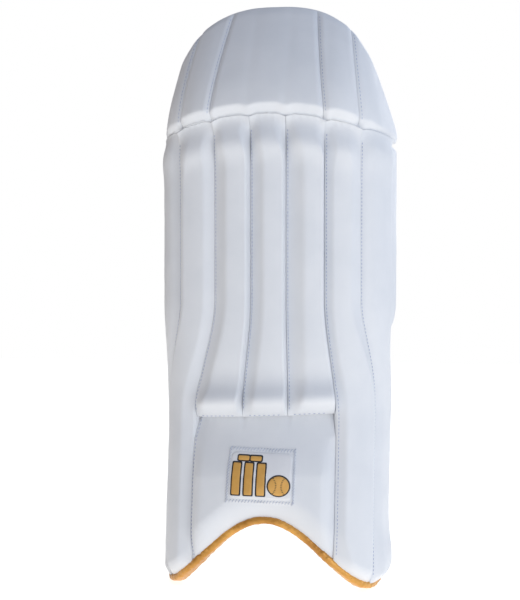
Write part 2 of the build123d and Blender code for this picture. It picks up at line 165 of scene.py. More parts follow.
def on_pad(s, z, t=0.0):
    """Points at arc length s from the centre and height z, t in front of the backing."""
    s, z, t = np.broadcast_arrays(*(np.asarray(v, float) for v in (s, z, t)))
    x, y, turn = np.zeros(s.shape), station(1, z), np.zeros(s.shape)
    left = np.abs(s)
    for k in range(3):
        length, bend = station(2 + 2 * k, z), np.radians(station(3 + 2 * k, z))
        curve = bend / length
        step = left if k == 2 else np.minimum(left, length)
        end = turn + step * curve
        x = x + (np.sin(end) - np.sin(turn)) / curve
        y = y + (np.cos(turn) - np.cos(end)) / curve
        turn, left = end, left - step
    side = np.where(s < 0, -1.0, 1.0)
    return np.stack([side * (x + t * np.sin(turn)), y - t * np.cos(turn), z], -1)


def pulled(s, width):
    """1 where a seam between two rolls meets the knee seam, falling to 0 beside it."""
    s = np.asarray(s, float)
    return sum(hump(s, seam, width) for seam in SEAMS_HIGH[1:-1])


def knee_seam(s):
    """The seam arches over each roll and is pulled down between them."""
    x = on_pad(s, np.full(np.shape(s), KNEE_SEAM))[..., 0]
    return KNEE_SEAM + KNEE_SEAM_RISE - KNEE_SEAM_FALL * x * x - SEAM_PULL * pulled(s, PULL_WIDTH)


def instep_seam(s):
    return INSTEP_SEAM + INSTEP_SLOPE * np.asarray(s, float)


def bottom_edge(s):
    a = np.abs(np.asarray(s, float))
    arch = ARCH * (1 + np.cos(math.pi * np.minimum(a, LOBE) / LOBE)) / 2
    return np.where(a < LOBE, arch, REAR_RISE * ((a - LOBE) / (REAR_EDGE - LOBE)) ** 3)


def above_binding(s):
    return bottom_edge(s) + BINDING_HEIGHT - BINDING_LAP


def top_edge(s):
    a = np.abs(np.asarray(s, float))
    crown = TOP + CROWN_RISE - CROWN_FALL * (np.minimum(a, CROWN_END) / CROWN_HALF) ** 3
    return np.where(a <= CROWN_END, crown, smooth(TOP_EDGE_SIDE, a))


def seam_at(index, z):
    """Arc length of a seam between two rolls, from the knee seam down to the instep seam."""
    start = OUTER_SPREAD_TOP if index in (0, 7) else SPREAD_TOP
    part = ease((start - np.asarray(z, float)) / (start - SPREAD_END))
    return SEAMS_HIGH[index] + (SEAMS_LOW[index] - SEAMS_HIGH[index]) * part


def outward_at(s, z):
    """Unit vectors straight out of the backing."""
    return on_pad(s, z, 1.0) - on_pad(s, z, 0.0)


def knee_bound(name, z):
    low, high = KNEE_SEAMS[name]
    return low + (high - low) * np.clip((np.asarray(z, float) - KNEE_SEAM) / (TOP - KNEE_SEAM), 0, 1)


def roughly(points, size, amount, seed=0.0):
    """Slow unevenness at each point, in millimetres."""
    flat = points.reshape(-1, 3)
    values = [noise.noise(Vector(p) / size + Vector((seed, 0, 0))) for p in flat]
    return amount * np.array(values).reshape(points.shape[:-1])


# -------- meshes
def new_mesh(name, points, faces):
    mesh = bpy.data.meshes.new(name)
    mesh.from_pydata([tuple(p) for p in np.asarray(points, float).reshape(-1, 3) * MM], [],
                     [tuple(f) for f in faces])
    mesh.validate()
    mesh.polygons.foreach_set("use_smooth", [True] * len(mesh.polygons))
    obj = bpy.data.objects.new(name, mesh)
    bpy.context.scene.collection.objects.link(obj)
    return obj


def outward(obj):
    """Make the faces of a closed mesh look outward."""
    work = bmesh.new()
    work.from_mesh(obj.data)
    bmesh.ops.recalc_face_normals(work, faces=work.faces)
    work.to_mesh(obj.data)
    work.free()
    return obj


def grid_faces(rows, columns, start=0, wrap=False):
    faces = []
    for i in range(rows - 1):
        for j in range(columns if wrap else columns - 1):
            k = (j + 1) % columns
            faces.append((start + i * columns + j, start + i * columns + k,
                          start + (i + 1) * columns + k, start + (i + 1) * columns + j))
    return faces


def shell(name, front, back):
    """Closed body between two grids of the same shape."""
    rows, columns = front.shape[:2]
    count = rows * columns
    faces = grid_faces(rows, columns) + [f[::-1] for f in grid_faces(rows, columns, count)]
    rim = ([(0, j) for j in range(columns)] + [(i, columns - 1) for i in range(1, rows)]
           + [(rows - 1, j) for j in range(columns - 2, -1, -1)]
           + [(i, 0) for i in range(rows - 2, 0, -1)])
    ring = [i * columns + j for i, j in rim]
    for a, b in zip(ring, ring[1:] + ring[:1]):
        faces.append((b, a, a + count, b + count))
    return outward(new_mesh(name, np.concatenate([front.reshape(-1, 3), back.reshape(-1, 3)]), faces))


def tube_faces(rings, around):
    """Faces of a tube that is closed at both ends."""
    last = (rings - 1) * around
    ends = [tuple(range(around))[::-1], tuple(range(last, last + around))]
    return grid_faces(rings, around, wrap=True) + ends


def ringed(name, rings):
    """Closed body through rings of points, one after another."""
    rings = np.asarray(rings)
    return outward(new_mesh(name, rings, tube_faces(*rings.shape[:2])))


def tube(name, path, radius, around, up, flat=1.0):
    """A round tube along a path, or one that is longer along up by the factor flat."""
    tangents = unit(np.gradient(path, axis=0))
    side = unit(np.cross(tangents, up))
    other = np.cross(side, tangents)
    angles = around_circle(around)[:, None]
    return ringed(name, path[:, None] + side[:, None] * (np.cos(angles) * radius)
                  + other[:, None] * (np.sin(angles) * radius * flat))


def join(name, objects):
    """One object from several, in world space."""
    work = bmesh.new()
    for obj in objects:
        work.from_mesh(obj.data)
    mesh = bpy.data.meshes.new(name)
    work.to_mesh(mesh)
    work.free()
    mesh.polygons.foreach_set("use_smooth", [True] * len(mesh.polygons))
    for obj in objects:
        bpy.data.objects.remove(obj)
    joined = bpy.data.objects.new(name, mesh)
    bpy.context.scene.collection.objects.link(joined)
    return joined


# -------- panels
ROUGHNESS = 0.35  # height of the slow unevenness of a padded face
BUNCHING = 0.6  # how far a grid's lines crowd towards its edges, from 0 to 1


def spread(count):
    """Places from 0 to 1, closer together near both ends."""
    even = np.linspace(0, 1, count)
    return even * (1 - BUNCHING) + BUNCHING * (0.5 - 0.5 * np.cos(math.pi * even))


def panel_grid(left, right, low, high, across, along):
    """Arc lengths and heights of a grid that fills a panel. left and right are functions
    of height, low and high of arc length."""
    u, v = np.meshgrid(spread(across), spread(along))
    s = np.zeros(u.shape)
    z = low(s) + (high(s) - low(s)) * v
    for _ in range(6):
        s = left(z) + (right(z) - left(z)) * u
        z = low(s) + (high(s) - low(s)) * v
    return u, v, s, z


class Panel:
    """A padded panel: its four edges, and its depth in front of the backing."""

    def __init__(self, left, right, low, high, depth):
        self.left, self.right, self.low, self.high = left, right, low, high
        self.depth = depth

    def at(self, s, z):
        """Depth of the panel's face at any arc length and height inside it."""
        s, z = np.broadcast_arrays(np.asarray(s, float), np.asarray(z, float))
        edges = {"left": s - self.left(z), "right": self.right(z) - s,
                 "low": z - self.low(s), "high": self.high(s) - z}
        u = np.clip(edges["left"] / (self.right(z) - self.left(z)), 0, 1)
        return self.depth(s, z, u, edges), np.minimum.reduce(list(edges.values()))

    def face_point(self, s, z, proud=0.0):
        return on_pad(s, z, self.at(s, z)[0] + proud)

    def normal(self, s, z):
        """Unit vectors out of the panel's face."""
        step = 0.4
        across = self.face_point(s + step, z) - self.face_point(s - step, z)
        up = self.face_point(s, z + step) - self.face_point(s, z - step)
        return unit(np.cross(across, up))

    def build(self, name, back, across, along):
        u, v, s, z = panel_grid(self.left, self.right, self.low, self.high, across, along)
        t, inside = self.at(s, z)
        front = on_pad(s, z, t)
        t = t + roughly(front, 34.0, ROUGHNESS, seed=3.0) * ease(inside / 10)
        t = t + roughly(front, 11.0, 0.4 * ROUGHNESS, seed=9.0) * ease(inside / 5)
        return shell(name, on_pad(s, z, t), on_pad(s, z, back(s, z) if callable(back) else back))


def fixed(value):
    return lambda at: np.full(np.shape(at), float(value))


def puckers(edge, run, pitch, amount, reach):
    """Small gathers beside a stitched seam: run is the distance along it."""
    return amount * np.sin(2 * math.pi * run / pitch) * fade(edge, reach)


# -------- materials
def tree_of(name):
    material = bpy.data.materials.new(name)
    material.use_nodes = True
    tree = material.node_tree
    return material, tree, tree.nodes["Principled BSDF"]


def set_inputs(node, **values):
    for key, value in values.items():
        node.inputs[key.replace("_", " ")].default_value = value


def add(tree, kind, *sources, **values):
    """A new node: sources are joined to its first inputs in order, values are its own settings
    or the values of its inputs."""
    node = tree.nodes.new(kind)
    for key, value in values.items():
        if hasattr(node, key):
            setattr(node, key, value)
        else:
            set_inputs(node, **{key: value})
    for socket, source in zip(node.inputs, sources):
        if source is not None:
            tree.links.new(source, socket)
    return node


def tint(tree, shader, source, stops):
    """Colour a shader by a ramp between (place, colour) stops."""
    node = add(tree, "ShaderNodeValToRGB", source)
    for element, (place, colour) in zip(node.color_ramp.elements, stops):
        element.position = place
        element.color = (*colour, 1.0)
    tree.links.new(node.outputs["Color"], shader.inputs["Base Color"])


def bump(tree, shader, height, strength, distance, base=None):
    node = add(tree, "ShaderNodeBump", Strength=strength, Distance=distance)
    tree.links.new(height, node.inputs["Height"])
    if base is not None:
        tree.links.new(base, node.inputs["Normal"])
    tree.links.new(node.outputs["Normal"], shader.inputs["Normal"])
    return node.outputs["Normal"]


def object_coordinates(tree, scale=(1.0, 1.0, 1.0)):
    place = add(tree, "ShaderNodeTexCoord").outputs["Object"]
    return add(tree, "ShaderNodeMapping", place, Scale=scale).outputs["Vector"]


def noise_at(tree, place, scale, detail=3.0, roughness=0.5):
    return add(tree, "ShaderNodeTexNoise", place, Scale=scale, Detail=detail,
               Roughness=roughness).outputs["Fac"]


def grained(name, dark, light, roughness=(0.36, 0.5), grain=0.16, cell=950.0, coat=0.0):
    """Coated cloth or leather: fine pebbled grain, faint clouds of colour, uneven gloss."""
    material, tree, shader = tree_of(name)
    place = object_coordinates(tree)
    tint(tree, shader, noise_at(tree, place, 28.0, 4.0, 0.55), [(0.3, dark), (0.7, light)])
    gloss = add(tree, "ShaderNodeMapRange", noise_at(tree, place, 140.0), From_Min=0.3, From_Max=0.7,
                To_Min=roughness[0], To_Max=roughness[1])
    tree.links.new(gloss.outputs["Result"], shader.inputs["Roughness"])
    cells = add(tree, "ShaderNodeTexVoronoi", place, feature="DISTANCE_TO_EDGE", Scale=cell)
    creases = bump(tree, shader, noise_at(tree, place, 210.0, 5.0, 0.6), 0.25, 0.0004)
    bump(tree, shader, cells.outputs["Distance"], grain, 0.0002, creases)
    set_inputs(shader, Specular_IOR_Level=0.42, Coat_Weight=coat, Coat_Roughness=0.35)
    return material


def woven(name, dark, light, pitch, depth=0.0003, diagonal=False):
    """Plain or ribbed weave: threads along x and z, a little uneven."""
    material, tree, shader = tree_of(name)
    place = object_coordinates(tree)
    waves = [add(tree, "ShaderNodeTexWave", place, bands_direction=direction, Distortion=0.6, Detail=1.0,
                 Scale=math.pi / (10 * pitch) * 2).outputs["Fac"]
             for direction in ("DIAGONAL" if diagonal else "X", "Z")]
    both = add(tree, "ShaderNodeMath", *waves, operation="MULTIPLY").outputs[0]
    clouds = add(tree, "ShaderNodeMath", noise_at(tree, place, 60.0), operation="MULTIPLY")
    clouds.inputs[1].default_value = 0.35
    mixed = add(tree, "ShaderNodeMath", both, None, clouds.outputs[0], operation="MULTIPLY_ADD")
    mixed.inputs[1].default_value = 0.75
    tint(tree, shader, mixed.outputs[0], [(0.1, dark), (0.6, light)])
    bump(tree, shader, both, 0.6, depth)
    set_inputs(shader, Roughness=0.85, Sheen_Weight=0.25)
    return material


def pile(name, dark, light, scale, depth):
    """Hook or loop tape: a dense field of small ends."""
    material, tree, shader = tree_of(name)
    ends = add(tree, "ShaderNodeTexVoronoi", object_coordinates(tree), Scale=scale).outputs["Distance"]
    tint(tree, shader, ends, [(0.1, light), (0.75, dark)])
    bump(tree, shader, ends, 0.9, -depth)
    set_inputs(shader, Roughness=0.8, Sheen_Weight=0.3)
    return material


def fibrous(name, dark, light, stretch, roughness):
    """Cane or board: streaks along one direction."""
    material, tree, shader = tree_of(name)
    streaks = noise_at(tree, object_coordinates(tree, stretch), 60.0, 6.0, 0.6)
    tint(tree, shader, streaks, [(0.3, dark), (0.7, light)])
    bump(tree, shader, streaks, 0.4, 0.0003)
    set_inputs(shader, Roughness=roughness)
    return material


WHITE_PU = grained("white_pu", (0.80, 0.815, 0.84), (0.84, 0.85, 0.87))
GOLD_VINYL = grained("gold_vinyl", (0.45, 0.18, 0.02), (0.86, 0.44, 0.09), roughness=(0.26, 0.42),
                     grain=0.3, cell=700.0, coat=0.15)
GOLD_VINYL.node_tree.nodes["Principled BSDF"].inputs["Metallic"].default_value = 0.3
PATCH_PU = grained("badge_patch", (0.78, 0.78, 0.80), (0.84, 0.84, 0.86), roughness=(0.42, 0.55))
EMBLEM_GOLD = grained("emblem_gold", (0.58, 0.30, 0.06), (0.82, 0.45, 0.12), grain=0.25, cell=1400.0)
EMBLEM_BLACK = grained("emblem_black", (0.012, 0.012, 0.014), (0.03, 0.03, 0.034), roughness=(0.4, 0.55))
THREAD = grained("thread", (0.36, 0.41, 0.58), (0.5, 0.55, 0.72), roughness=(0.55, 0.7), cell=2400.0)
PALE_THREAD = grained("pale_thread", (0.46, 0.49, 0.58), (0.66, 0.69, 0.77), roughness=(0.55, 0.7),
                      cell=2400.0)
LINING = woven("lining", (0.60, 0.61, 0.63), (0.80, 0.81, 0.83), pitch=0.0011)
PAD_CLOTH = woven("bolster_cloth", (0.66, 0.67, 0.70), (0.84, 0.85, 0.87), pitch=0.0009)
WEBBING = woven("webbing", (0.60, 0.61, 0.64), (0.83, 0.84, 0.87), pitch=0.0017, depth=0.0006,
                diagonal=True)
LOOP = pile("loop_tape", (0.58, 0.59, 0.62), (0.84, 0.85, 0.87), 1500.0, 0.0005)
HOOK = pile("hook_tape", (0.42, 0.43, 0.46), (0.80, 0.81, 0.84), 900.0, 0.0008)
CANE = fibrous("cane", (0.42, 0.27, 0.11), (0.72, 0.54, 0.30), (9.0, 9.0, 0.6), 0.45)
BOARD = fibrous("board", (0.24, 0.16, 0.09), (0.42, 0.31, 0.2), (1.0, 1.0, 1.0), 0.8)


def finish_piece(obj, material, body, replaced=()):
    """Material and body, and hides the CAD nodes it stands for, its stuffing among them if any."""
    obj.data.materials.clear()
    obj.data.materials.append(material)
    if body:
        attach(obj, body)
    if replaced:
        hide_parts(*replaced)
    return obj


# -------- shin rolls
ROLL_COUNT, MIDDLE_ROLLS, OUTER_ROLLS = 7, (2, 3, 4), (0, 6)
HIDDEN_GAP = 0.12  # between two covers that meet in a seam
ROLL_DEPTHS = [15.0, 20.0, 24.0, 24.0, 24.0, 20.5, 16.0]
ROLL_CROWN = 1.0  # extra depth along the middle of a roll
ROLL_SEAM, SEAM_BELOW = 14.0, 5.0  # depth of the valley between two rolls, or this far below a crest
HEAD_SEAM_BELOW, HEAD_SEAM_REACH = 1.5, 10.0  # at the knee seam it is only this far below a crest
FOOT_SEAM, OUTER_FOOT_SEAM, FOOT_SEAM_REACH = 9.0, 11.0, 9.0
ROLL_SIDE, ROUNDING = 12.5, 1.9  # width of a rounded side, and how steeply it rises
# Away from its ends a roll's sides are nearly straight, and this wide.
LEFT_FLANKS = [12.0, 6.0, 15.0, 13.5, 17.0, 7.0, 12.0]
RIGHT_FLANKS = [12.0, 9.0, 2.4, 2.4, 2.4, 8.0, 12.0]
STRAIGHT_FROM, STRAIGHT_OVER, STRAIGHT_SLANT = 12.0, 42.0, 0.6
LEFT_STRAIGHT_FROM, LEFT_STRAIGHT_OVER = 10.0, 26.0
# Extra depth below the knee seam, and how far below it that is centred.
HEAD_BULGES = [1.5, 3.8, 5.0, 5.0, 5.0, 3.8, 1.5]
HEAD_PLACE, HEAD_REACH = 26.0, 15.0
# Near the foot: extra depth, its place above the lower edge, and its reach.
MIDDLE_FOOT = [(6.0, 19.0, 10.0), (-1.5, 44.0, 14.0)]
FOOT_BULGES = {2: MIDDLE_FOOT, 3: MIDDLE_FOOT, 4: MIDDLE_FOOT, 6: [(3.8, 16.0, 24.0)]}
ROLL_COLUMNS, ROLL_ROWS, MIDDLE_ROLL_ROWS = 30, 190, 140


def roll(index):
    middle, outer = index in MIDDLE_ROLLS, index in OUTER_ROLLS
    crest = ROLL_DEPTHS[index]
    valley = min(ROLL_SEAM, crest - SEAM_BELOW)
    foot_seam = OUTER_FOOT_SEAM if outer else FOOT_SEAM
    head_round, foot_round = (12, 10) if outer else (21, 15)

    def depth(s, z, u, edges):
        high, low = edges["high"], edges["low"]
        full = crest + ROLL_CROWN * np.sin(math.pi * u)
        full = full + HEAD_BULGES[index] * hump(high, HEAD_PLACE, HEAD_REACH)
        for extra, place, reach in FOOT_BULGES.get(index, []):
            full = full + extra * hump(low, place, reach)
        seam = valley + (crest - HEAD_SEAM_BELOW - valley) * fade(high, HEAD_SEAM_REACH)
        seam = seam + (foot_seam - valley) * fade(low, FOOT_SEAM_REACH)
        slant = STRAIGHT_SLANT * (edges["left"] - STRAIGHT_FROM)
        boxy = 0.0 if outer else ease((high - STRAIGHT_FROM + slant) / STRAIGHT_OVER)
        left_boxy = boxy * ease((low - LEFT_STRAIGHT_FROM) / LEFT_STRAIGHT_OVER)
        left = edges["left"] / (ROLL_SIDE + (LEFT_FLANKS[index] - ROLL_SIDE) * left_boxy)
        right = edges["right"] / (ROLL_SIDE + (RIGHT_FLANKS[index] - ROLL_SIDE) * boxy)
        rounded = swell(np.minimum(left, right), 1.0, ROUNDING)
        straight = np.minimum(flank(left, 1.0), flank(right, 1.0))
        side = rounded + (straight - rounded) * boxy
        gathers = puckers(high, s, 6.5, 0.4, 5.0)
        if middle:
            gathers = gathers + puckers(low, s, 7.5, 0.4, 5.0)
        rise = (full - seam) * side * flank(high, head_round, 0.8) * swell(low, foot_round, 1.8)
        return seam + rise + gathers * side

    return Panel(
        lambda z: seam_at(index, z) + HIDDEN_GAP,
        lambda z: seam_at(index + 1, z) - HIDDEN_GAP,
        lambda s: instep_seam(s) + HIDDEN_GAP if middle else above_binding(s),
        lambda s: knee_seam(s) - HIDDEN_GAP,
        depth,
    )


rolls = [roll(index) for index in range(ROLL_COUNT)]
for index, panel in enumerate(rolls):
    rows = MIDDLE_ROLL_ROWS if index in MIDDLE_ROLLS else ROLL_ROWS
    finish_piece(panel.build(f"roll_{index + 1}", 0.0, ROLL_COLUMNS, rows), WHITE_PU, "shin",
                 (f"shin_roll_cover_{index + 1}", f"shin_roll_foam_{index + 1}"))

# -------- instep panel
INSTEP_LEFT, INSTEP_RIGHT = SEAMS_LOW[2], SEAMS_LOW[5]
INSTEP_DEPTH, INSTEP_HEAD = 23.5, 3.0  # at its fullest, and at the seam under the rolls
INSTEP_SIDE, INSTEP_FOOT = 13.0, 8.0  # at the side seams, and at the binding
CREASE_DEPTH, CREASE_WIDTH, CREASE_REACH = 1.6, 2.5, 8.0


def instep_depth(s, z, u, edges):
    """Creases run down from the two seams that end on the panel."""
    full = INSTEP_HEAD + (INSTEP_DEPTH - INSTEP_HEAD) * swell(edges["high"], 60, 1.4)
    side = swell(np.minimum(edges["left"], edges["right"]), 15, 2.0)
    foot = swell(edges["low"], 34, 1.7)
    full = full - np.maximum(full - INSTEP_SIDE, 0.0) * (1 - side)
    full = full - np.maximum(full - INSTEP_FOOT, 0.0) * (1 - foot)
    gathers = puckers(edges["high"], s, 8.0, 0.35, 5.0)
    for seam in SEAMS_LOW[3:5]:
        gathers = gathers - CREASE_DEPTH * hump(s, seam, CREASE_WIDTH) * fade(edges["high"], CREASE_REACH)
    return full + gathers


instep = Panel(fixed(INSTEP_LEFT + HIDDEN_GAP), fixed(INSTEP_RIGHT - HIDDEN_GAP), above_binding,
               lambda s: instep_seam(s) - HIDDEN_GAP, instep_depth)
finish_piece(instep.build("instep_panel", 0.0, 90, 90), WHITE_PU, "shin",
             ("instep_cover", "instep_foam"))

# -------- knee section
# Depth by height above the knee seam, and the share of it that is left away from the centre.
KNEE_PROFILE = [(0, 28.6), (4, 29.8), (9, 29.6), (24, 27.2), (48, 22.6), (80, 16.3), (122, 8.0)]
KNEE_ACROSS = [(0, 1.0), (50, 1.0), (72, 0.93), (95, 0.62), (120, 0.45), (180, 0.4)]
KNEE_CROWN, KNEE_SEAM_BELOW = 0.8, 3.2
KNEE_FOOT, KNEE_FOOT_SHARE = 5.0, 0.74
RIDGE_WIDTH, RIDGE_NARROWING = 6.5, 2.0
TOP_LAP = 1.5  # the panels run this far in under the top piping
# The left and right edge of each panel.
KNEE_EDGES = {
    "knee_centre": (("centre", -1), ("centre", 1)),
    "knee_lateral_flank": (("centre", 1), ("flank", 1)),
    "knee_medial_flank": (("flank", -1), ("centre", -1)),
    "knee_lateral_wing": (("flank", 1), ("rear", 1)),
    "knee_medial_wing": (("rear", -1), ("flank", -1)),
}


def knee_depth(s, z, u, edges):
    """A ridge stands over the knee seam, and the domed face falls away above it."""
    low = edges["low"]
    full = smooth(KNEE_PROFILE, z - knee_seam(s)) * smooth(KNEE_ACROSS, np.abs(s))
    full = full - KNEE_SEAM_BELOW * (1 - swell(np.minimum(edges["left"], edges["right"]), 6.0, 2.0))
    full = full + KNEE_CROWN * np.sin(math.pi * u)
    ridge = flank(low, RIDGE_WIDTH - RIDGE_NARROWING * ease((np.abs(s) - 85) / 25), 0.7)
    crown = swell(edges["high"], 9.0, 2.0)
    gathers = puckers(low, s, 9.0, 0.3, 5.0) - 1.8 * pulled(s, 2.6) * fade(low, 6.0)
    base = KNEE_FOOT + KNEE_FOOT_SHARE * (full - KNEE_FOOT) * fade(low, 10)
    return base + (full - base) * ridge * (0.35 + 0.65 * crown) + gathers


def knee_edge(name, side, gap):
    """A side edge of a knee panel, with a gap where another panel meets it."""
    gap = 0 if name == "rear" else gap
    return lambda z: side * knee_bound(name, z) + gap


knee_panels = {
    name: Panel(knee_edge(*left, HIDDEN_GAP), knee_edge(*right, -HIDDEN_GAP),
                lambda s: knee_seam(s) + HIDDEN_GAP, lambda s: top_edge(s) - TOP_LAP, knee_depth)
    for name, (left, right) in KNEE_EDGES.items()
}


def bend_with_knee(piece):
    """Bakes the piece's transform into its mesh, without bending it over the band above the knee seam."""
    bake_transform(piece)


for name, panel in knee_panels.items():
    piece = panel.build(name, -3.0 if "wing" in name else 0.0, 80 if name == "knee_centre" else 50, 90)
    finish_piece(piece, WHITE_PU, None, (f"{name}_cover", f"{name}_foam"))
    bend_with_knee(piece)

# -------- shin wings
SIDES = ((-1, "medial"), (1, "lateral"))
WING_FRONT, WING_REAR = SEAMS_HIGH[-1] + 0.3, 189.0
WING_FACE_REAR = WING_REAR - 2.0
WING_HINGE_Z, WING_BEND = 350.0, 11.0
WING_SEAM, WING_DEPTH, WING_CROWN = 3.0, 9.5, 0.6
WING_CORNER_RISE, WING_CORNER_POWER = 34, 2.4


def wing_depth(s, z, u, edges):
    full = WING_DEPTH + WING_CROWN * np.sin(math.pi * u)
    side = swell(np.minimum(np.abs(s) - WING_FRONT, WING_FACE_REAR - np.abs(s)), 9.0, 2.0)
    rise = (full - WING_SEAM) * side * swell(edges["low"], 12, 2) * swell(edges["high"], 9, 2)
    return WING_SEAM + rise


def wing_low(s):
    part = np.clip((np.abs(np.asarray(s, float)) - WING_FRONT) / (WING_REAR - WING_FRONT), 0, 1)
    return WING_LOW + WING_CORNER_RISE * part ** WING_CORNER_POWER


def bend_with_wing(piece, side):
    """Bakes the piece's transform into its mesh, without turning it over beside its seam; the hinge ends it
    works out are not used.
    """
    ends = [on_pad(side * (WING_FRONT + step), WING_HINGE_Z, 4.0) * MM for step in (0.0, WING_BEND)]
    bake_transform(piece)


def along_path(points, step, passes=8):
    """Even, smoothed steps along a line through some points."""
    points = np.asarray(points, float)
    for _ in range(2):
        lengths = np.r_[0, np.cumsum(np.linalg.norm(np.diff(points, axis=0), axis=1))]
        places = np.linspace(0, lengths[-1], max(int(lengths[-1] / step), 3))
        points = np.stack([np.interp(places, lengths, column) for column in points.T], -1)
        for _ in range(passes):
            points[1:-1] = (points[:-2] + 2 * points[1:-1] + points[2:]) / 4
    return points


def wing_rim():
    """Arc lengths from the centre and heights along a wing's lower and rear edges."""
    rim = [(s, wing_low(s) + 0.6) for s in np.linspace(WING_FRONT + 1, WING_FACE_REAR, 24)]
    heights = np.linspace(wing_low(WING_REAR) + 2, knee_seam(WING_REAR) - 3.5, 60)
    return along_path(rim + [(WING_REAR - 1.6, z) for z in heights], 1.5)


for side, name in SIDES:
    ends = sorted((side * WING_FRONT, side * WING_FACE_REAR))
    panel = Panel(fixed(ends[0]), fixed(ends[1]), wing_low, lambda s: knee_seam(s) - 1.8, wing_depth)
    piece = finish_piece(panel.build(f"{name}_wing", -2.5, 36, 90), WHITE_PU, None,
                         (f"{name}_wing_cover", f"{name}_wing_foam"))
    bend_with_wing(piece, side)
    rim_s, rim_z = (wing_rim() * (side, 1)).T
    piping = tube(f"{name}_wing_piping", on_pad(rim_s, rim_z, 0.3), 2.1, 12, outward_at(rim_s, rim_z), 1.55)
    finish_piece(piping, WHITE_PU, None, (f"{name}_wing_binding",))
    bend_with_wing(piping, side)

# -------- backs of the two sections
ROLL_SEAMS = range(1, ROLL_COUNT)
GROOVE_DEPTH, GROOVE_WIDTH = 1.4, 2.2
# Depth behind the backing in the middle, how much less it is at the sides, where that change
# starts and how wide it is, then the depth at the fold and at the rim.
SHIN_BACK = {"middle": -12.8, "less": 9.2, "start": 104, "width": 30, "fold": -8.0, "rim": -3.6}
KNEE_BACK = {"middle": -11.0, "less": 7.6, "start": 88, "width": 26, "fold": -6.0, "rim": -2.6}


def stitched_down(s, z):
    """Grooves in the lining where the roll seams are sewn through it."""
    groove = 0.0
    for index in ROLL_SEAMS:
        line = GROOVE_DEPTH * hump(s, seam_at(index, z), GROOVE_WIDTH)
        groove = groove + (line * ease((z - INSTEP_SEAM) / 6) if index in (3, 4) else line)
    return groove


def back_depth(s, shape, to_fold, to_rim, grooves=0.0):
    full = shape["middle"] + shape["less"] * ease((np.abs(s) - shape["start"]) / shape["width"]) + grooves
    full = shape["fold"] + (full - shape["fold"]) * swell(to_fold, 6.0, 2)
    return shape["rim"] + (full - shape["rim"]) * swell(to_rim, 12, 2)


def shin_back_depth(s, z):
    return back_depth(s, SHIN_BACK, knee_seam(s) - z, z - bottom_edge(s) - 2, stitched_down(s, z))


def knee_back_depth(s, z):
    return back_depth(s, KNEE_BACK, z - knee_seam(s), top_edge(s) - z)


def back_shell(name, half, low, high, depth, front, across, along):
    u, v, s, z = panel_grid(lambda z: -half(z), half, low, high, across, along)
    return shell(name, on_pad(s, z, front), on_pad(s, z, depth(s, z)))


shin_back = back_shell("shin_back", lambda z: seam_at(7, z) - 0.4, lambda s: bottom_edge(s) + 2.0,
                       lambda s: knee_seam(s) - 0.4, shin_back_depth, -0.15, 200, 180)
finish_piece(shin_back, LINING, "shin", ("shin_lining",))
knee_back = back_shell("knee_back", lambda z: knee_bound("rear", z) - 0.6, lambda s: knee_seam(s) + 0.4,
                       lambda s: top_edge(s) - 1.0, knee_back_depth, 0.15, 110, 80)
finish_piece(knee_back, LINING, None, ("knee_lining",))
bend_with_knee(knee_back)

for node, material in {"cane_rods": CANE, "shin_backing_board": BOARD, "knee_backing_board": BOARD}.items():
    frame["nodes"][node].data.materials.clear()
    frame["nodes"][node].data.materials.append(material)


# -------- bolsters, blown up as cloth
SHIN_FACE, KNEE_FACE = -13.0, -11.2  # depth of the lining that they are sewn to
CLOTH_FRAMES, CLOTH_VOXEL, AIR_PRESSURE = 20, 0.004, 4.0
SWELL_LIMIT = 5.0
WELT_RADIUS, WELT_OUT = 1.2, 1.2
# Arc lengths of both sides, heights of both ends, the lining's depth, how far the bolster stands
# off it, the body and the CAD node.
BOLSTERS = {
    "medial_bolster": (-82.5, -45.5, 207, 403, SHIN_FACE, 14.0, "shin", "medial_shin_bolster"),
    "lateral_bolster": (45.5, 82.5, 207, 403, SHIN_FACE, 14.0, "shin", "lateral_shin_bolster"),
    "ankle_pad": (-56, 56, 102, 142, SHIN_FACE, 10.5, "shin", "ankle_bolster"),
    "knee_pad_upper": (-42, 42, 558, 578, KNEE_FACE, 10.5, "knee", "knee_upper_bolster"),
    "knee_pad_lower": (-60, 60, 517, 537, KNEE_FACE, 10.5, "knee", "knee_lower_bolster"),
}


def apply_modifiers(obj):
    result = bpy.data.meshes.new_from_object(obj.evaluated_get(bpy.context.evaluated_depsgraph_get()))
    obj.modifiers.clear()
    obj.data = result


def vertex_values(obj, kind):
    """Places or normals of all vertices, a row each."""
    values = np.empty(len(obj.data.vertices) * 3)
    obj.data.vertices.foreach_get(kind, values)
    return values.reshape(-1, 3)


